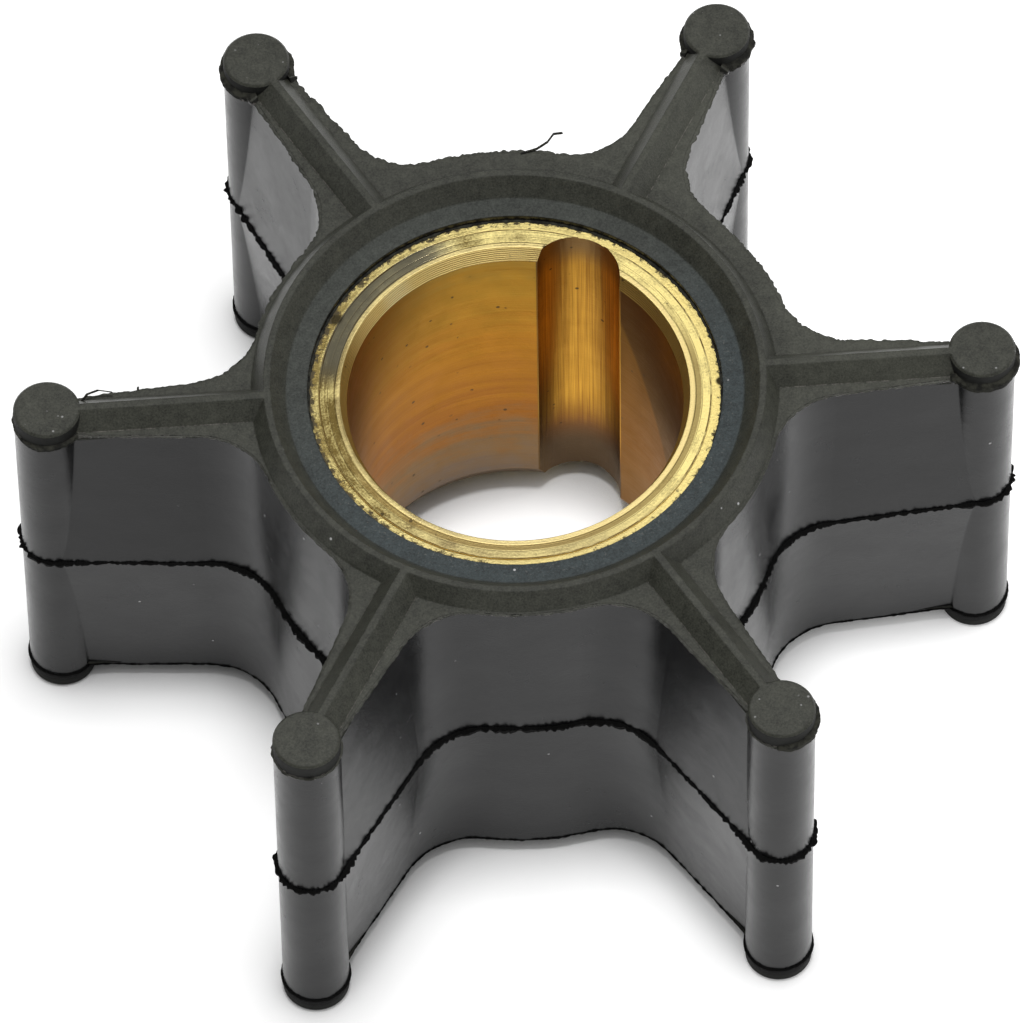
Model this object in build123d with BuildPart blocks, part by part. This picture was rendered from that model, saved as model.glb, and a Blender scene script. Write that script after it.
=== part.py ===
from build123d import *
import math
import os

os.makedirs("parts", exist_ok=True)

# all lengths in mm, the bore axis is Z, the part rests on Z = 0
# one vane points along +X, both end faces are alike apart from the film of flash
vane_count = 6
vane_step = 360 / vane_count
height = 25.4

# round tips at the vane ends
tip_axis_radius = 25.34
tip_radius = 1.82
tip_edge_bevel = 0.12

# end relief: vanes and web stop this far short of the tips, ring and ribs
relief = 1.0

# vanes, thickest on the mid plane where the mould halves meet
vane_ref_radius = 17.5
mid_half_root = 2.42
mid_half_tip = 1.78
end_half_root = 1.66
end_half_tip = 1.04
root_fillet = 4.2

# hub web between the vanes
web_radius = 14.4

# raised ring on each end face
ring_inner_base = 12.41
ring_inner_top = 13.25
ring_outer_top = 13.6
ring_outer_base = 14.3

# raised rib along each vane on each end face, flush with ring and tip
rib_half_top = 0.2
rib_half_base = 1.06
rib_sink = 0.3

# brass bush
bush_radius = 11.25
bush_inset = 1.4
bush_step_radius = 10.66
bush_step = 0.08
bore_radius = 9.12
lead_radius = 9.48
lead_depth = 0.84

# half round keyway through the bore
key_angle = 63.0
key_centre_radius = 8.27
key_radius = 2.48

# film of flash left across the two gaps beside the vane at 60 degrees, top end only
film_gaps = 2
film_thickness = 0.14
film_web_radius = 15.42
film_root_fillet = 4.0
film_flank = 0.06
film_end_radius = 22.0

mid_z = height / 2
top_relief_z = height - relief


def turned(point, angle):
    c = math.cos(math.radians(angle))
    s = math.sin(math.radians(angle))
    return (point[0] * c - point[1] * s, point[0] * s + point[1] * c)


def side_points(half_root, half_tip, web, fillet_size):
    """Tip, fillet start, fillet middle and web tangent of one vane side."""
    run = tip_axis_radius - vane_ref_radius
    slope = math.atan((half_root - half_tip) / run)
    nx = math.sin(slope)
    ny = math.cos(slope)
    base = tip_axis_radius * nx + half_tip * ny
    swing = math.asin((fillet_size + base) / (web + fillet_size)) - slope
    cx = (web + fillet_size) * math.cos(swing)
    cy = (web + fillet_size) * math.sin(swing)
    start = (cx - fillet_size * nx, cy - fillet_size * ny)
    tangent = (web * math.cos(swing), web * math.sin(swing))
    bx = (start[0] + tangent[0]) / 2 - cx
    by = (start[1] + tangent[1]) / 2 - cy
    reach = fillet_size / math.hypot(bx, by)
    middle = (cx + bx * reach, cy + by * reach)
    return (tip_axis_radius, half_tip), start, middle, tangent


def mirrored(point):
    return (point[0], -point[1])


def star_face(z, half_root, half_tip):
    """Outline of web and vanes on the plane Z = z."""
    points = side_points(half_root, half_tip, web_radius, root_fillet)
    with BuildSketch(Plane.XY.offset(z)) as star:
        with BuildLine():
            for gap in range(vane_count):
                near = vane_step * gap
                far = near + vane_step
                ahead = [turned(p, near) for p in points]
                back = [turned(mirrored(p), far) for p in points]
                half = turned((web_radius, 0), near + vane_step / 2)
                Line(turned(mirrored(points[0]), near), ahead[0])
                Line(ahead[0], ahead[1])
                ThreePointArc(ahead[1], ahead[2], ahead[3])
                ThreePointArc(ahead[3], half, back[3])
                ThreePointArc(back[3], back[2], back[1])
                Line(back[1], back[0])
        make_face()
    return star.sketch.face()


mid_star = star_face(mid_z, mid_half_root, mid_half_tip)
top_star = star_face(top_relief_z, end_half_root, end_half_tip)
low_star = star_face(relief, end_half_root, end_half_tip)


def film_face(gap):
    """Outline of the film of flash across one gap, from vane centre line to vane centre line."""
    near = vane_step * gap
    far = near + vane_step
    half_root = end_half_root + film_flank
    half_tip = end_half_tip + film_flank
    points = side_points(half_root, half_tip, film_web_radius, film_root_fillet)
    tip, start, middle, tangent = points
    share = (tip_axis_radius - film_end_radius) / (tip_axis_radius - start[0])
    edge = (film_end_radius, tip[1] + (start[1] - tip[1]) * share)
    ahead = [turned(p, near) for p in (edge, start, middle, tangent)]
    back = [turned(mirrored(p), far) for p in (edge, start, middle, tangent)]
    half = near + vane_step / 2
    with BuildSketch(Plane.XY.offset(top_relief_z - film_thickness)) as film:
        with BuildLine():
            Line(turned((ring_outer_top, 0), near), turned((film_end_radius, 0), near))
            Line(turned((film_end_radius, 0), near), ahead[0])
            Line(ahead[0], ahead[1])
            ThreePointArc(ahead[1], ahead[2], ahead[3])
            ThreePointArc(ahead[3], turned((film_web_radius, 0), half), back[3])
            ThreePointArc(back[3], back[2], back[1])
            Line(back[1], back[0])
            Line(back[0], turned((film_end_radius, 0), far))
            Line(turned((film_end_radius, 0), far), turned((ring_outer_top, 0), far))
            ThreePointArc(
                turned((ring_outer_top, 0), far),
                turned((ring_outer_top, 0), half),
                turned((ring_outer_top, 0), near),
            )
        make_face()
    return film.sketch.face()


ring_section = [
    (ring_inner_base - rib_sink, -rib_sink),
    (ring_inner_base, 0),
    (ring_inner_top, relief),
    (ring_outer_top, relief),
    (ring_outer_base, 0),
    (ring_outer_base, -rib_sink),
    (ring_inner_base - rib_sink, -rib_sink),
]
rib_slope = (rib_half_base - rib_half_top) / relief
rib_half_sunk = rib_half_base + rib_slope * rib_sink
rib_section = [
    (-rib_half_sunk, -rib_sink),
    (rib_half_sunk, -rib_sink),
    (rib_half_top, relief),
    (-rib_half_top, relief),
    (-rib_half_sunk, -rib_sink),
]
rib_from = (ring_inner_top + ring_outer_top) / 2

# one round vane tip, standing the full height, its rims broken
with BuildPart() as round_tip:
    Cylinder(tip_radius, height, align=(Align.CENTER, Align.CENTER, Align.MIN))
    chamfer(round_tip.edges().filter_by(GeomType.CIRCLE), length=tip_edge_bevel)

# rubber moulding
with BuildPart() as rubber_body:
    loft(sections=[low_star, mid_star], ruled=True)
    loft(sections=[mid_star, top_star], ruled=True)
    with PolarLocations(tip_axis_radius, vane_count):
        add(round_tip.part)
    for end in (top_relief_z, relief):
        up = 1 if end > mid_z else -1
        with BuildSketch(Plane.XZ) as ring_sketch:
            with BuildLine():
                Polyline([(r, end + up * h) for r, h in ring_section])
            make_face()
        revolve(axis=Axis.Z)
        for vane in range(vane_count):
            angle = vane * vane_step
            across = turned((0, 1), angle)
            along = turned((1, 0), angle)
            spot = turned((rib_from, 0), angle)
            rib_plane = Plane(
                origin=(spot[0], spot[1], end),
                x_dir=(across[0], across[1], 0),
                z_dir=(along[0], along[1], 0),
            )
            with BuildSketch(rib_plane) as rib_sketch:
                with BuildLine():
                    Polyline([(w, up * h) for w, h in rib_section])
                make_face()
            extrude(amount=tip_axis_radius - rib_from)
    # film of flash at the top
    for gap in range(film_gaps):
        extrude(to_extrude=film_face(gap), amount=film_thickness, dir=(0, 0, 1))
    # seat of the bush
    Cylinder(
        bush_radius,
        height,
        align=(Align.CENTER, Align.CENTER, Align.MIN),
        mode=Mode.SUBTRACT,
    )

# brass bush, bonded into the rubber
bush_low = bush_inset
bush_high = height - bush_inset
with BuildPart() as brass_bush:
    with BuildSketch(Plane.XZ) as bush_sketch:
        with BuildLine():
            Polyline([
                (bore_radius, bush_low + lead_depth),
                (lead_radius, bush_low),
                (bush_step_radius, bush_low),
                (bush_step_radius, bush_low + bush_step),
                (bush_radius, bush_low + bush_step),
                (bush_radius, bush_high - bush_step),
                (bush_step_radius, bush_high - bush_step),
                (bush_step_radius, bush_high),
                (lead_radius, bush_high),
                (bore_radius, bush_high - lead_depth),
                (bore_radius, bush_low + lead_depth),
            ])
        make_face()
    revolve(axis=Axis.Z)
    key_spot = turned((key_centre_radius, 0), key_angle)
    with Locations((key_spot[0], key_spot[1], 0)):
        Cylinder(
            key_radius,
            height,
            align=(Align.CENTER, Align.CENTER, Align.MIN),
            mode=Mode.SUBTRACT,
        )

rubber_body.part.label = "rubber_body"
brass_bush.part.label = "brass_bush"
export_step(rubber_body.part, "parts/rubber_body.step")
export_step(brass_bush.part, "parts/brass_bush.step")
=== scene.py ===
import math

import bmesh
import bpy
from mathutils import Matrix, Vector, noise


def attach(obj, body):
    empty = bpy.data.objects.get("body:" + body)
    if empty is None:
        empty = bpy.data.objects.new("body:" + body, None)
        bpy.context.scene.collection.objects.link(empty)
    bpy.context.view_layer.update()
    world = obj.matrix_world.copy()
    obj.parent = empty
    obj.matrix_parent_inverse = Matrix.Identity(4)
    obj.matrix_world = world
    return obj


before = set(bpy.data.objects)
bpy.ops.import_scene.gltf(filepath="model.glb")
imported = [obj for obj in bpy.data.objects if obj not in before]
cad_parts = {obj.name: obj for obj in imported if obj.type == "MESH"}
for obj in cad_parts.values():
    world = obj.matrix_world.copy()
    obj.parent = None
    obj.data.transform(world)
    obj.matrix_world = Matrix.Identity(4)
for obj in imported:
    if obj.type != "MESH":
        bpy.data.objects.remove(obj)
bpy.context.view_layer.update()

MM = 0.001

# heights of the moulding, in mm
TOP = 25.4
MID = 12.7
RELIEF = 1.0

# radii of the bush and its surroundings, in mm
BUSH_RADIUS = 11.25
BUSH_INSET = 1.4
STEP_RADIUS = 10.66
LEAD_RADIUS = 9.48
BORE_RADIUS = 9.12
LEAD_DEPTH = 0.84
KEY_ANGLE = 63.0
KEY_CENTRE = 8.27
KEY_RADIUS = 2.48
RING_INNER = 12.41
RING_OUTER = 14.3
TIP_AXIS = 25.34
VANE_STEP = 60

# flash at the mould lines, in mm
FLASH_STEP = 0.11
FLASH_ROOT = 0.12
SLIVER_RADIUS = 0.07
COLLAR_REACH = 2.1
FILM_STEPS = 640

# spots where the rim of the bush is nicked, in mm: x, y, outer and inner radius
NICKS = ((-9.41, 5.58, 0.55, 0.25), (11.17, -0.04, 0.35, 0.2))

# for each vane: where most torn rubber is left round its tip, in degrees, how
# far it spreads to each side, and how much there is
COLLARS = ((-60, 95, 1.0), (0, 200, 1.0), (0, 200, 1.0), (-90, 45, 0.6), (-90, 10, 0.2), (-25, 70, 0.9))


class Value:
    """A number in a node tree; arithmetic on it adds Math nodes."""

    def __init__(self, finish, socket):
        self.finish = finish
        self.socket = socket

    def maths(self, operation, *others):
        parts = {0: self}
        parts.update(enumerate(others, start=1))
        made = self.finish.node("ShaderNodeMath", {"operation": operation}, parts)
        return Value(self.finish, made.outputs[0])

    def __add__(self, other):
        return self.maths("ADD", other)

    def __sub__(self, other):
        return self.maths("SUBTRACT", other)

    def __rsub__(self, other):
        return (self * -1) + other

    def __mul__(self, other):
        return self.maths("MULTIPLY", other)

    def __truediv__(self, other):
        return self.maths("DIVIDE", other)

    def __pow__(self, other):
        return self.maths("POWER", other)

    def __abs__(self):
        return self.maths("ABSOLUTE")

    __radd__ = __add__
    __rmul__ = __mul__

    def clamped(self):
        return self.maths("MAXIMUM", 0.0).maths("MINIMUM", 1.0)

    def rise(self, low, high):
        """0 below low, 1 above high, smooth between; low may be the larger."""
        settings = {"interpolation_type": "SMOOTHSTEP"}
        sockets = {"Value": self, "From Min": low, "From Max": high}
        return Value(self.finish, self.finish.node("ShaderNodeMapRange", settings, sockets).outputs[0])

    def band(self, centre, half, soft):
        """1 within half of centre, fading to 0 over soft."""
        return abs(self - centre).rise(half + soft, half)


class Finish:
    """One material with its node tree and one Principled shader."""

    def __init__(self, name):
        self.material = bpy.data.materials.new(name)
        self.material.use_nodes = True
        self.tree = self.material.node_tree
        self.tree.nodes.clear()
        self.output = self.node("ShaderNodeOutputMaterial")
        place = self.node("ShaderNodeTexCoord").outputs["Object"]
        self.place = self.scaled(place, 1 / MM)
        parts = self.node("ShaderNodeSeparateXYZ", None, {0: self.place})
        self.x, self.y, self.z = (Value(self, s) for s in parts.outputs)
        self.radius = (self.x * self.x + self.y * self.y) ** 0.5
        self.angle = self.y.maths("ARCTAN2", self.x)
        facing = self.node("ShaderNodeNewGeometry").outputs["Normal"]
        lean = self.node("ShaderNodeSeparateXYZ", None, {0: facing})
        self.up = abs(Value(self, lean.outputs[2]))

    def node(self, kind, settings=None, sockets=None):
        made = self.tree.nodes.new(kind)
        for name, value in (settings or {}).items():
            if name == "stops":
                self.set_stops(made.color_ramp, value)
            else:
                setattr(made, name, value)
        for key, value in (sockets or {}).items():
            socket = made.inputs[key]
            if isinstance(value, Value):
                value = value.socket
            if isinstance(value, bpy.types.NodeSocket):
                self.tree.links.new(value, socket)
            else:
                socket.default_value = value
        return made

    @staticmethod
    def set_stops(ramp, stops):
        while len(ramp.elements) > 1:
            ramp.elements.remove(ramp.elements[-1])
        ramp.elements[0].position = stops[0][0]
        ramp.elements[0].color = (*stops[0][1], 1)
        for position, colour in stops[1:]:
            ramp.elements.new(position).color = (*colour, 1)

    def scaled(self, vector, factor):
        settings = {"operation": "SCALE"}
        return self.node("ShaderNodeVectorMath", settings, {0: vector, "Scale": factor}).outputs[0]

    def vector(self, x, y, z):
        return self.node("ShaderNodeCombineXYZ", None, {0: x, 1: y, 2: z}).outputs[0]

    def beside(self, x, y):
        """Distance from the upright line through (x, y)."""
        return ((self.x - x) ** 2.0 + (self.y - y) ** 2.0) ** 0.5

    def grain(self, scale, detail=2.0, rough=0.5, where=None):
        """Soft noise from 0 to 1; scale is in features per mm."""
        sockets = {
            "Vector": where or self.place,
            "Scale": scale,
            "Detail": detail,
            "Roughness": rough,
        }
        return Value(self, self.node("ShaderNodeTexNoise", None, sockets).outputs[0])

    def specks(self, scale, where=None):
        """Distance to the nearest scattered point, about 0 at a point."""
        sockets = {"Vector": where or self.place, "Scale": scale}
        return Value(self, self.node("ShaderNodeTexVoronoi", None, sockets).outputs[0])

    def mix(self, share, first, second):
        settings = {"data_type": "RGBA"}
        sockets = {0: share, 6: first, 7: second}
        return self.node("ShaderNodeMix", settings, sockets).outputs[2]

    def relief(self, height, depth, strength=1.0, under=None):
        """Bump from a height of 0 to 1 that stands for depth mm."""
        sockets = {"Height": height, "Distance": depth * MM, "Strength": strength}
        if under is not None:
            sockets["Normal"] = under
        return self.node("ShaderNodeBump", None, sockets).outputs[0]

    def shaded(self, **sockets):
        named = {key.replace("_", " "): value for key, value in sockets.items()}
        shader = self.node("ShaderNodeBsdfPrincipled", None, named)
        self.tree.links.new(shader.outputs[0], self.output.inputs[0])
        return self.material


def grey(level, tint=(1.0, 1.0, 1.0)):
    return tuple(level * t for t in tint) + (1.0,)


def rubber_finish():
    f = Finish("moulded_rubber")
    mottle = f.grain(0.4, 3.0)
    cloud = f.grain(1.8, 3.0)
    fine = f.grain(9.0, 3.0, 0.7)
    patch = f.grain(0.33, 2.0, 0.6).rise(0.50, 0.60)
    top = f.up.rise(0.25, 0.5)
    front = (f.x * 0.4 - f.y).rise(-8.0, 6.0)
    land = f.radius.rise(RING_INNER + 0.1, RING_INNER - 0.1) * top * (front * 0.7 + 0.3)
    slope = f.up.rise(0.9, 0.8) * top
    ends = abs(f.z - MID).rise(MID - RELIEF - 0.1, MID - RELIEF) * (1 - top)
    olive = grey(0.038, (1.03, 1.06, 0.84))
    bluish = grey(0.039, (0.82, 1.06, 1.10))
    wall = grey(0.008, (0.98, 1.0, 1.05))
    colour = f.mix(top, wall, f.mix(land, olive, bluish))
    colour = f.mix(ends, colour, grey(0.012, (1.0, 1.03, 0.9)))
    frost = f.grain(7.0, 2.0, 0.7).rise(0.58, 0.70) * f.radius.rise(12.7, 11.3) * land
    colour = f.mix(frost * 0.45, colour, grey(0.14, (1.05, 1.0, 0.9)))
    ledge = f.z.band(TOP - RELIEF - 0.08, 0.10, 0.03) * f.radius.rise(RING_OUTER, RING_OUTER + 0.05)
    crumbs = ledge * f.up.rise(0.9, 0.4) * f.grain(4.0, 2.0).rise(0.38, 0.60)
    colour = f.mix(crumbs * 0.9, colour, grey(0.16, (1.1, 1.0, 0.92)))
    dust = f.specks(0.55).rise(0.055, 0.03) * f.grain(0.6).rise(0.5, 0.62)
    grainy = (fine - 0.5) * (top * 1.2 + 1.0)
    ledge_zone = f.radius.band(19.0, 3.5, 1.0) * top
    # painted light: the ledge is painted lighter towards the right and back
    painted_light = (f.x * 0.8 + f.y * 0.6).rise(2.0, 20.0) * ledge_zone
    shade = mottle * 0.6 + cloud * 0.9 + grainy + 0.25 + painted_light * 0.35
    dim = f.node("ShaderNodeVectorMath", {"operation": "SCALE"}, {0: colour, "Scale": shade}).outputs[0]
    lint = f.specks(1.7).rise(0.15, 0.07) * f.grain(1.1).rise(0.5, 0.6) * f.radius.rise(23.2, 23.6) * top
    speckled = f.mix((dust + lint * 0.5).clamped(), dim, grey(0.45))
    rough = mottle * 0.12 + cloud * 0.12 + 0.12 + top * 0.26 - patch * 0.05
    rough = rough - slope * 0.10 + ends * 0.55
    edge = f.node("ShaderNodeBevel", {"samples": 2}, {"Radius": 0.13 * MM}).outputs[0]
    waves = f.grain(0.25, 1.0) * (1 - top) * 3.0
    bump = f.relief(fine * (top * 0.5 + 0.4) + cloud * 0.3 + waves, 0.035, 0.6, edge)
    return f.shaded(Base_Color=speckled, Roughness=rough, Normal=bump, IOR=1.34)


def torn_painted_shade_finish():
    f = Finish("torn_rubber_painted_shade")
    cloud = f.grain(2.2, 3.0)
    fine = f.grain(7.0, 3.0, 0.7)
    # Low on the part the fins are near-black, painted shade for the shadow among their ragged teeth;
    # higher up they take the dark olive of rubber crumbs.
    above = f.z.rise(MID + 2.0, TOP - 3.0)
    crumb = f.mix(cloud.rise(0.35, 0.65), grey(0.010, (1.0, 1.0, 0.85)), grey(0.034, (1.05, 1.05, 0.82)))
    colour = f.mix(above, grey(0.002, (1.0, 0.95, 0.9)), crumb)
    bump = f.relief(fine, 0.10, 0.8)
    return f.shaded(Base_Color=colour, Roughness=0.8, Normal=bump, IOR=1.25)


def brass_finish():
    f = Finish("turned_brass")
    flat = f.up.rise(0.85, 0.97)
    wall = f.up.rise(0.2, 0.1)
    key_x = KEY_CENTRE * math.cos(math.radians(KEY_ANGLE))
    key_y = KEY_CENTRE * math.sin(math.radians(KEY_ANGLE))
    key = f.beside(key_x, key_y).band(KEY_RADIUS, 0.05, 0.03) * wall
    marks = f.grain(1.0, 3.0, 0.7, f.vector(f.angle * 0.6, f.radius * 7.0, f.z * 7.0))
    bands = f.grain(1.0, 4.0, 0.65, f.vector(f.angle * 0.9, 0.0, f.z * 1.3))
    streaks = f.grain(1.0, 3.0, 0.6, f.vector(f.x * 9.0, f.y * 9.0, f.z * 0.10))
    blotch = f.grain(0.7, 3.0, 0.65)
    speck = f.grain(8.0, 3.0, 0.7)
    height = (f.z + (bands - 0.5) * 9.0 + (blotch - 0.5) * 5.0) / TOP
    bore = f.node(
        "ShaderNodeValToRGB",
        {
            "stops": [
                (0.05, (0.150, 0.115, 0.088)),
                (0.20, (0.200, 0.120, 0.055)),
                (0.36, (0.320, 0.120, 0.017)),
                (0.60, (0.480, 0.210, 0.018)),
                (0.82, (0.530, 0.290, 0.030)),
                (0.96, (0.520, 0.335, 0.056)),
            ]
        },
        {0: height},
    ).outputs[0]
    # Painted shadow: a diagonal shadow edge on the bore wall right of the keyway. Painted shade: the
    # right-hand wall is darker outside it.
    shadow = (f.z + f.angle * -21.0 - 2.5).rise(-0.8, 0.8) * f.angle.band(0.3, 0.55, 0.1)
    bore = f.mix(shadow, bore, (0.15, 0.070, 0.010, 1))
    bore = f.mix(f.angle.band(0.1, 0.7, 0.2) * (1 - shadow) * 0.8, bore, (0.20, 0.085, 0.010, 1))
    bore = f.mix(abs(f.angle).rise(2.4, 3.0) * 0.7, bore, (0.12, 0.06, 0.02, 1))
    low = (f.z + (streaks - 0.5) * 2.0).rise(9.0, 5.0)
    groove = f.mix(streaks.rise(0.25, 0.75), (0.40, 0.18, 0.020, 1), (0.74, 0.40, 0.05, 1))
    # the keyway groove is darker and greyer towards the bottom
    low_tone = f.mix(f.z.rise(7.0, 3.5), (0.23, 0.09, 0.022, 1), (0.10, 0.064, 0.035, 1))
    groove = f.mix(low, groove, low_tone)
    groove = f.mix(f.z.rise(21.0, 23.4), groove, (0.28, 0.17, 0.06, 1))
    # painted shade: the left part of the keyway groove is darker
    groove = f.mix((f.x - key_x).rise(-1.0, -2.2) * 0.75, groove, (0.11, 0.06, 0.015, 1))
    inside = f.mix(key, bore, groove)
    # The lead-in cone is painted bright gold in turned lines, brightest at the back left, with a glint
    # there: painted highlights for light caught in its grooves.
    cone = f.up.band(0.394, 0.15, 0.08) * f.z.rise(20.0, 21.0)
    turned = ((f.z + blotch * 0.06) * 8.5).maths("PINGPONG", 0.5) * 2.0
    lit = f.angle.band(1.95, 0.45, 0.5)
    gold = f.mix(turned, (0.62, 0.42, 0.10, 1), (0.98, 0.80, 0.36, 1))
    inside = f.mix(cone, inside, f.mix(lit, (0.36, 0.23, 0.06, 1), gold))
    inside = f.mix(f.angle.band(2.27, 0.03, 0.12) * cone * turned, inside, (1.0, 0.90, 0.52, 1))
    right = f.x / (f.radius + 0.01)
    mirror = f.angle.band(2.42, 0.40, 0.25) * f.radius.band(10.2, 0.42, 0.1)
    # The face's tone varies at random with blotches, marks and specks, and is painted lighter towards
    # the right: painted light.
    pale = right * 0.42 + 0.56 + (blotch - 0.5) * 2.0 + (marks - 0.5) * 1.2 + (speck - 0.5) * 1.3
    face = f.mix(pale.clamped(), (0.17, 0.12, 0.036, 1), (0.90, 0.77, 0.33, 1))
    # painted reflection: the face is darker and greyer in front
    face = f.mix(f.angle.band(-1.57, 0.35, 0.6) * 0.5, face, (0.38, 0.31, 0.16, 1))
    # painted reflection: a band of the face is darker in front, where it mirrors dark surroundings
    dark_reflection_band = f.radius.band(9.93, 0.13, 0.08) * f.angle.band(-1.2, 1.3, 0.5)
    face = f.mix(dark_reflection_band * 0.75, face, (0.26, 0.18, 0.06, 1))
    # painted reflection: the polished face at the back left is darkened, as a mirror of dark
    # surroundings
    face = f.mix(mirror * 0.85, face, (0.26, 0.24, 0.17, 1))
    lip = f.radius.band(9.62, 0.10, 0.05)
    # painted highlight: the lip is painted bright, broken by marks and brightest on the right
    face = f.mix(lip * marks.rise(0.30, 0.55) * (right * 0.3 + 0.7), face, (0.82, 0.67, 0.32, 1))
    lines = f.radius.band(10.6, 0.02, 0.03) + f.radius.band(9.80, 0.01, 0.03) * 0.7
    lines = lines + f.radius.band(10.15, 0.008, 0.02) * 0.6
    face = f.mix(lines.clamped() * blotch.rise(0.35, 0.6), face, (0.16, 0.10, 0.03, 1))
    strip = f.radius.rise(10.62, 10.68) * flat
    residue = (f.grain(2.6, 3.0, 0.7) + (f.radius - 11.05) * 0.6 - right * 0.05).rise(0.46, 0.60) * strip
    colour = f.mix(flat, inside, face)
    # painted light: the rough outer strip is painted lighter, most on the right
    colour = f.mix(strip * (1 - residue) * (right * 0.2 + 0.3), colour, (0.92, 0.76, 0.30, 1))
    colour = f.mix(residue, colour, (0.07, 0.055, 0.025, 1))
    pits = f.specks(1.2).rise(0.16, 0.09) * f.grain(0.9).rise(0.52, 0.60)
    colour = f.mix(pits * 0.8, colour, (0.05, 0.035, 0.02, 1))
    first, second = (f.beside(x, y).rise(outer, inner) for x, y, outer, inner in NICKS)
    colour = f.mix((first + second).clamped() * flat, colour, (0.05, 0.04, 0.02, 1))
    rough = blotch * 0.25 + marks * 0.15 + 0.18 + flat * (right * 0.10 + 0.14)
    rough = rough - mirror * flat * 0.26 + residue * 0.3 + cone * 0.1
    grit_depth = 0.3 + flat * 1.0 + strip * 1.0 - mirror * 1.1
    height = marks * (0.6 + flat * 0.8) + speck * grit_depth + lip * flat * 0.7 - lines * flat
    height = height + residue * 0.6 + turned * cone * 5.0 + streaks * key * 0.8
    bump = f.relief(height, 0.03, 0.5)
    metal = 1 - residue * 0.9
    brown = (0.93, 0.82, 0.72, 1)
    return f.shaded(
        Base_Color=colour,
        Metallic=metal,
        Roughness=rough.clamped(),
        Normal=bump,
        Specular_Tint=brown,
    )


def floor_finish():
    f = Finish("pale_floor")
    diffuse = f.node("ShaderNodeBsdfDiffuse", None, {"Color": grey(0.80)})
    rays = f.node("ShaderNodeLightPath").outputs
    seen = Value(f, rays["Is Camera Ray"]) + Value(f, rays["Is Glossy Ray"])
    seen = (seen + Value(f, rays["Is Transmission Ray"])).clamped()
    # Painted light: the glow that makes the floor white is stronger on the right and inside the bore. It
    # fades near the part with ambient occlusion, a painted contact shadow, which is lifted on the right
    # and in the bore.
    sweep = f.x.rise(-10.0, 40.0) * 0.25 + 0.38 + f.radius.rise(9.5, 6.0) * 0.10
    near = f.node("ShaderNodeAmbientOcclusion", {"samples": 3}, {"Distance": 5 * MM}).outputs["AO"]
    painted_glow_lift = f.x.rise(-8.0, 22.0) * 0.25 + f.radius.rise(9.5, 6.0) * 0.45
    sweep = sweep * (Value(f, near) + painted_glow_lift).rise(0.40, 0.82)
    glow = f.node("ShaderNodeEmission", None, {"Color": grey(1.0), "Strength": sweep})
    both = f.node("ShaderNodeAddShader", None, {0: diffuse.outputs[0], 1: glow.outputs[0]})
    sockets = {0: seen, 1: diffuse.outputs[0], 2: both.outputs[0]}
    chosen = f.node("ShaderNodeMixShader", None, sockets)
    f.tree.links.new(chosen.outputs[0], f.output.inputs[0])
    return f.material


def fresh_object(name, bm, materials):
    """Object at the origin from a bmesh, riding on the part."""
    mesh = bpy.data.meshes.new(name)
    bm.to_mesh(mesh)
    bm.free()
    for material in materials:
        mesh.materials.append(material)
    made = bpy.data.objects.new(name, mesh)
    bpy.context.scene.collection.objects.link(made)
    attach(made, "root")
    return made


def merged_copy(node):
    """A CAD node's mesh with its loose triangles merged."""
    bm = bmesh.new()
    bm.from_mesh(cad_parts[node].data)
    bmesh.ops.remove_doubles(bm, verts=bm.verts, dist=1e-6)
    return bm


def mould_line(node, level, least_radius):
    """The outline that a level cut leaves, in steps of FLASH_STEP."""
    bm = merged_copy(node)
    everything = bm.verts[:] + bm.edges[:] + bm.faces[:]
    bmesh.ops.bisect_plane(
        bm,
        geom=everything,
        dist=1e-8,
        plane_co=(0, 0, level * MM),
        plane_no=(0, 0, 1),
        clear_inner=True,
        clear_outer=True,
    )
    inside = [v for v in bm.verts if v.co.xy.length < least_radius * MM]
    bmesh.ops.delete(bm, geom=inside, context="VERTS")
    bmesh.ops.remove_doubles(bm, verts=bm.verts, dist=0.3 * FLASH_STEP * MM)
    by_cuts = {}
    for edge in bm.edges:
        cuts = round(edge.calc_length() / (FLASH_STEP * MM)) - 1
        if cuts > 0:
            by_cuts.setdefault(cuts, []).append(edge)
    for cuts, edges in by_cuts.items():
        bmesh.ops.subdivide_edges(bm, edges=edges, cuts=cuts)
    return bm


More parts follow.
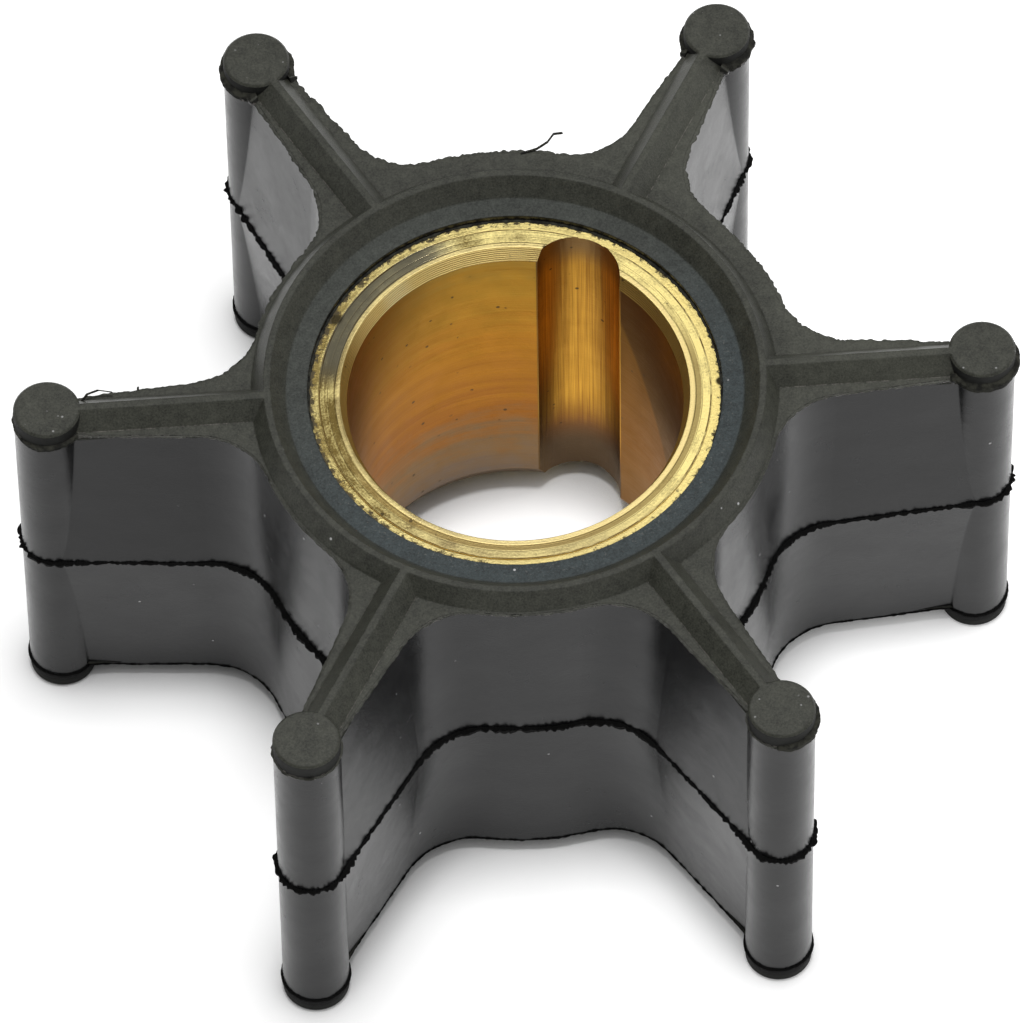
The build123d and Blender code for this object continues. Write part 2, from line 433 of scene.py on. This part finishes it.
def flash_ribbon(name, level, shape, materials, is_torn):
    """Fin of rubber along a mould line; shape gives its section at a spot.

    The second material goes on the faces where is_torn says so.
    """
    bm = mould_line("rubber_body", level, BUSH_RADIUS + 0.8)
    outward = bm.verts.layers.float_vector.new("outward")
    made = bmesh.ops.extrude_edge_only(bm, edges=bm.edges[:])
    lower = [g for g in made["geom"] if isinstance(g, bmesh.types.BMVert)]
    bmesh.ops.translate(bm, verts=lower, vec=(0, 0, -FLASH_STEP * MM))
    bmesh.ops.recalc_face_normals(bm, faces=bm.faces)
    bm.normal_update()
    tip = max(bm.verts, key=lambda v: v.co.x)
    sign = 1 if tip.normal.x > 0 else -1
    for v in bm.verts:
        v[outward] = v.normal * sign
    made = bmesh.ops.extrude_face_region(bm, geom=bm.faces[:])
    edge = {g for g in made["geom"] if isinstance(g, bmesh.types.BMVert)}
    lower = {v for v in bm.verts if v.co.z < (level - FLASH_STEP / 2) * MM}
    for v in bm.verts:
        spot = v.co / MM
        reach, above, below, rim = shape(spot)
        side = -1 if v in lower else 1
        if v in edge:
            wobble = 0.16 * (grit(spot, 1.3, level) - 0.5)
            wobble += side * 0.10 * (grit(spot, 5.0, level + side) - 0.5)
            v.co.z = (level + wobble + side * rim) * MM
            v.co += v[outward] * reach * MM
        else:
            v.co.z = (level + (above if side > 0 else -below)) * MM
            v.co -= v[outward] * FLASH_ROOT * MM
    bmesh.ops.recalc_face_normals(bm, faces=bm.faces)
    for face in bm.faces:
        face.material_index = 1 if is_torn(face.calc_center_median() / MM) else 0
    ribbon = fresh_object(name, bm, materials)
    return ribbon


def share(value):
    """The value, kept between 0 and 1."""
    return max(0.0, min(1.0, value))


def grit(spot, per_mm, shift=0.0, contrast=1.0):
    """Noise from 0 to 1 at a place given in mm."""
    across = 0.81 * spot.x + 0.59 * spot.y
    along = 0.81 * spot.y - 0.59 * spot.x
    place = Vector((across * per_mm + shift + 0.37, along * per_mm + 0.71, 0.7 * shift + 0.43))
    return share(0.5 + 0.5 * contrast * noise.noise(place))


def ragged(spot, shift, low, high):
    """Width of a torn edge: short teeth on a slow swell."""
    swell = grit(spot, 0.35, shift, 1.6)
    teeth = grit(spot, 2.3, shift + 5, 2.4) * 0.4 + grit(spot, 5.6, shift + 9, 2.8) * 0.6
    return low + (high - low) * (0.25 * swell + 0.75 * teeth)


def tip_near(spot):
    """Number of the nearest vane, and the direction and distance from its tip's axis."""
    number = round(math.degrees(math.atan2(spot.y, spot.x)) / VANE_STEP) % len(COLLARS)
    angle = math.radians(VANE_STEP * number)
    dx = spot.x - TIP_AXIS * math.cos(angle)
    dy = spot.y - TIP_AXIS * math.sin(angle)
    return number, math.degrees(math.atan2(dy, dx)), math.hypot(dx, dy)


def collar(spot):
    """How much torn rubber is left round the vane tip here, from 0 to 1."""
    number, direction, distance = tip_near(spot)
    if distance > COLLAR_REACH:
        return 0.0
    middle, spread, size = COLLARS[number]
    away = abs((direction - middle + 180) % 360 - 180)
    return size * share((spread - away) / 25 + 0.5)


def on_vane(spot, number):
    """How far a spot lies along a vane, and how far to its left."""
    angle = math.radians(VANE_STEP * number)
    along = spot.x * math.cos(angle) + spot.y * math.sin(angle)
    across = -spot.x * math.sin(angle) + spot.y * math.cos(angle)
    return along, across


def mid_section(spot):
    """Reach, rise, drop and rim of the mid fin, thicker at web and tips and on one torn flank."""
    radius = math.hypot(spot.x, spot.y)
    web = share((18.0 - radius) / 2)
    tip = share((radius - 23.5) / 1.0)
    along, across = on_vane(spot, 2)
    torn = 1.0 if 16 < along < 24.5 and 0 < across < 4 else 0.0
    heavy = max(web, 0.6 * tip, 0.3 * torn)
    reach = ragged(spot, 3.0, 0.03 + 0.05 * web, 0.24 + 0.14 * web + 0.14 * tip + 0.03 * torn)
    lump = 0.4 + 1.2 * grit(spot, 1.9, 17.0, 1.8)
    root = (0.06 + 0.08 * heavy) * lump
    return reach, root, root, (0.02 + 0.06 * heavy) * lump


def top_section(spot):
    """Section of the upper fin, widest behind, with collars at the tips and one smooth flank."""
    left = collar(spot)
    behind = 1.0 if spot.y > 1.5 and spot.x > -13.5 else 0.0
    smooth = 1.0 if on_vane(spot, 1)[1] > 0 and spot.x > 4.0 else 0.0
    reach = ragged(spot, 11.0, 0.05, 0.16 + 0.11 * behind - 0.14 * smooth) + 0.14 * left
    above = 0.05 + left * (0.28 + 0.25 * grit(spot, 1.5, 31.0, 1.5))
    return reach, above, 0.09 + 0.18 * left, 0.02 + 0.13 * left


def low_section(spot):
    """Section of the lower fin, which reaches down to the foot of each tip as a dark skirt: painted
    shade for the contact shadow round the foot.
    """
    tip = share((math.hypot(spot.x, spot.y) - 23.4) / 1.0)
    reach = ragged(spot, 23.0, 0.01, 0.10) * (1 - 0.6 * tip) + 0.09 * tip
    return reach, 0.05 + 0.10 * tip, 0.05 + 0.98 * tip, 0.02 + 0.05 * tip


def bush_film(material):
    """Thin ring of rubber that has crept over the edge of the bush."""
    bm = bmesh.new()
    level = TOP - BUSH_INSET - 0.08
    corners = (
        (BUSH_RADIUS + 0.06, -0.05),
        (BUSH_RADIUS - 0.06, -0.05),
        (BUSH_RADIUS - 0.04, 0.05),
        (BUSH_RADIUS + 0.06, 0.12),
    )
    verts = [bm.verts.new((r * MM, 0, (level + h) * MM)) for r, h in corners]
    edges = [bm.edges.new((verts[i], verts[(i + 1) % 4])) for i in range(4)]
    bmesh.ops.spin(
        bm,
        geom=verts + edges,
        cent=(0, 0, 0),
        axis=(0, 0, 1),
        angle=math.tau,
        steps=FILM_STEPS,
        use_merge=True,
    )
    bmesh.ops.remove_doubles(bm, verts=bm.verts, dist=1e-7)
    for v in bm.verts:
        spot = v.co / MM
        radius = math.hypot(spot.x, spot.y)
        if radius < BUSH_RADIUS:
            pull = ragged(spot, 41.0, 0.0, 0.15)
            v.co.x *= 1 - pull / radius
            v.co.y *= 1 - pull / radius
    bmesh.ops.recalc_face_normals(bm, faces=bm.faces)
    film = fresh_object("bush_film", bm, [material])


def sliver(name, start, steps, materials):
    """Thin curled shred of rubber from start on, by steps, all in mm."""
    bm = bmesh.new()
    bmesh.ops.create_circle(bm, segments=6, radius=SLIVER_RADIUS * MM)
    heading = Vector(steps[0]).to_track_quat("Z", "Y").to_matrix()
    bmesh.ops.rotate(bm, verts=bm.verts, cent=(0, 0, 0), matrix=heading)
    bmesh.ops.translate(bm, verts=bm.verts, vec=Vector(start) * MM)
    rim = bm.edges[:]
    for step in steps:
        made = bmesh.ops.extrude_edge_only(bm, edges=rim)
        moved = [g for g in made["geom"] if isinstance(g, bmesh.types.BMVert)]
        edges = [g for g in made["geom"] if isinstance(g, bmesh.types.BMEdge)]
        rim = [e for e in edges if e.verts[0] in moved and e.verts[1] in moved]
        bmesh.ops.translate(bm, verts=moved, vec=Vector(step) * MM)
    bmesh.ops.holes_fill(bm, edges=bm.edges[:], sides=6)
    bmesh.ops.recalc_face_normals(bm, faces=bm.faces)
    shred = fresh_object(name, bm, materials)


def place_camera():
    """The photograph's viewpoint, found by fitting its perspective."""
    elevation = math.radians(57.474)
    azimuth = math.radians(3.24)
    roll = math.radians(-0.9865)
    distance = 755.99
    target = Vector((-0.36, -0.472, 12.83))
    level = math.cos(elevation)
    ahead = Vector((level * math.sin(azimuth), level * math.cos(azimuth), -math.sin(elevation)))
    right = Vector((math.cos(azimuth), -math.sin(azimuth), 0))
    above = right.cross(ahead)
    side = right * math.cos(roll) + above * math.sin(roll)
    head = above * math.cos(roll) - right * math.sin(roll)
    lens = bpy.data.cameras.new("camera")
    lens.sensor_width = 36.0
    lens.lens = 13804 / 1023 * 36
    lens.clip_start = 0.05
    lens.clip_end = 10.0
    camera = bpy.data.objects.new("camera", lens)
    bpy.context.scene.collection.objects.link(camera)
    turn = Matrix((side, head, -ahead)).transposed()
    camera.matrix_world = Matrix.Translation((target - ahead * distance) * MM) @ turn.to_4x4()
    bpy.context.scene.camera = camera


def place_light(name, azimuth, elevation, distance, size, power):
    """A soft square light that looks at the part; azimuth 0 is in front."""
    a = math.radians(azimuth)
    e = math.radians(elevation)
    back = Vector((math.sin(a) * math.cos(e), -math.cos(a) * math.cos(e), math.sin(e)))
    lamp = bpy.data.lights.new(name, "AREA")
    lamp.shape = "SQUARE"
    lamp.size = size
    lamp.energy = power
    holder = bpy.data.objects.new(name, lamp)
    bpy.context.scene.collection.objects.link(holder)
    holder.location = back * distance
    holder.rotation_mode = "QUATERNION"
    holder.rotation_quaternion = (-back).to_track_quat("-Z", "Y")


def place_world():
    """A pale room, brighter on the right and behind than on the left and in front."""
    world = bpy.data.worlds.new("studio")
    bpy.context.scene.world = world
    world.use_nodes = True
    nodes = world.node_tree.nodes
    links = world.node_tree.links
    place = nodes.new("ShaderNodeTexCoord")
    parts = nodes.new("ShaderNodeSeparateXYZ")
    lean = nodes.new("ShaderNodeMath")
    lean.operation = "MULTIPLY_ADD"
    lean.inputs[1].default_value = 0.3
    across = nodes.new("ShaderNodeMapRange")
    across.inputs["From Min"].default_value = -1.3
    across.inputs["From Max"].default_value = 1.3
    across.inputs["To Min"].default_value = 0.03
    across.inputs["To Max"].default_value = 0.80
    links.new(place.outputs["Generated"], parts.inputs[0])
    links.new(parts.outputs[1], lean.inputs[0])
    links.new(parts.outputs[0], lean.inputs[2])
    links.new(lean.outputs[0], across.inputs["Value"])
    links.new(across.outputs[0], nodes["Background"].inputs["Strength"])
    nodes["Background"].inputs["Color"].default_value = grey(1.0)


def lay_floor():
    bm = bmesh.new()
    bmesh.ops.create_grid(bm, x_segments=1, y_segments=1, size=2.0)
    mesh = bpy.data.meshes.new("floor")
    bm.to_mesh(mesh)
    bm.free()
    floor = bpy.data.objects.new("floor", mesh)
    bpy.context.scene.collection.objects.link(floor)
    mesh.materials.append(floor_finish())


rubber = rubber_finish()
brass = brass_finish()
for name, finish in (("rubber_body", rubber), ("brass_bush", brass)):
    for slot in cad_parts[name].material_slots:
        slot.material = finish

torn = torn_painted_shade_finish()
flash_ribbon("flash_mid", MID - 0.01, mid_section, [rubber, torn], lambda spot: True)
top_line = TOP - RELIEF - 0.07
flash_ribbon("flash_top", top_line, top_section, [rubber, torn], lambda spot: collar(spot) > 0.1)
# the lower fin's dark skirt round each foot is painted shade
flash_ribbon("flash_bottom_and_foot_shade", RELIEF + 0.07, low_section, [rubber, torn], lambda spot: True)
bush_film(torn)
back_steps = ((0.9, 0.2, 0.1), (0.6, 0.2, 0.3), (0.35, 0.3, 0.3), (0.5, 0.0, 0.05))
left_steps = ((0.4, 0.3, 0.4), (0.6, 0.15, 0.1), (0.75, -0.05, -0.2))
bump_steps = ((-0.05, 0.3, 0.05), (0.02, 0.2, 0.02))
sliver("shred_back", (1.4, 15.25, 24.4), back_steps, [torn])
sliver("shred_left", (-23.5, 0.8, 24.5), left_steps, [torn])
sliver("shred_bump", (-20.3, 1.2, 24.3), bump_steps, [torn])

bpy.context.scene.view_settings.view_transform = "Standard"
lay_floor()
place_world()
place_light("overhead", 0, 90, 1.0, 0.25, 6.8)
place_camera()
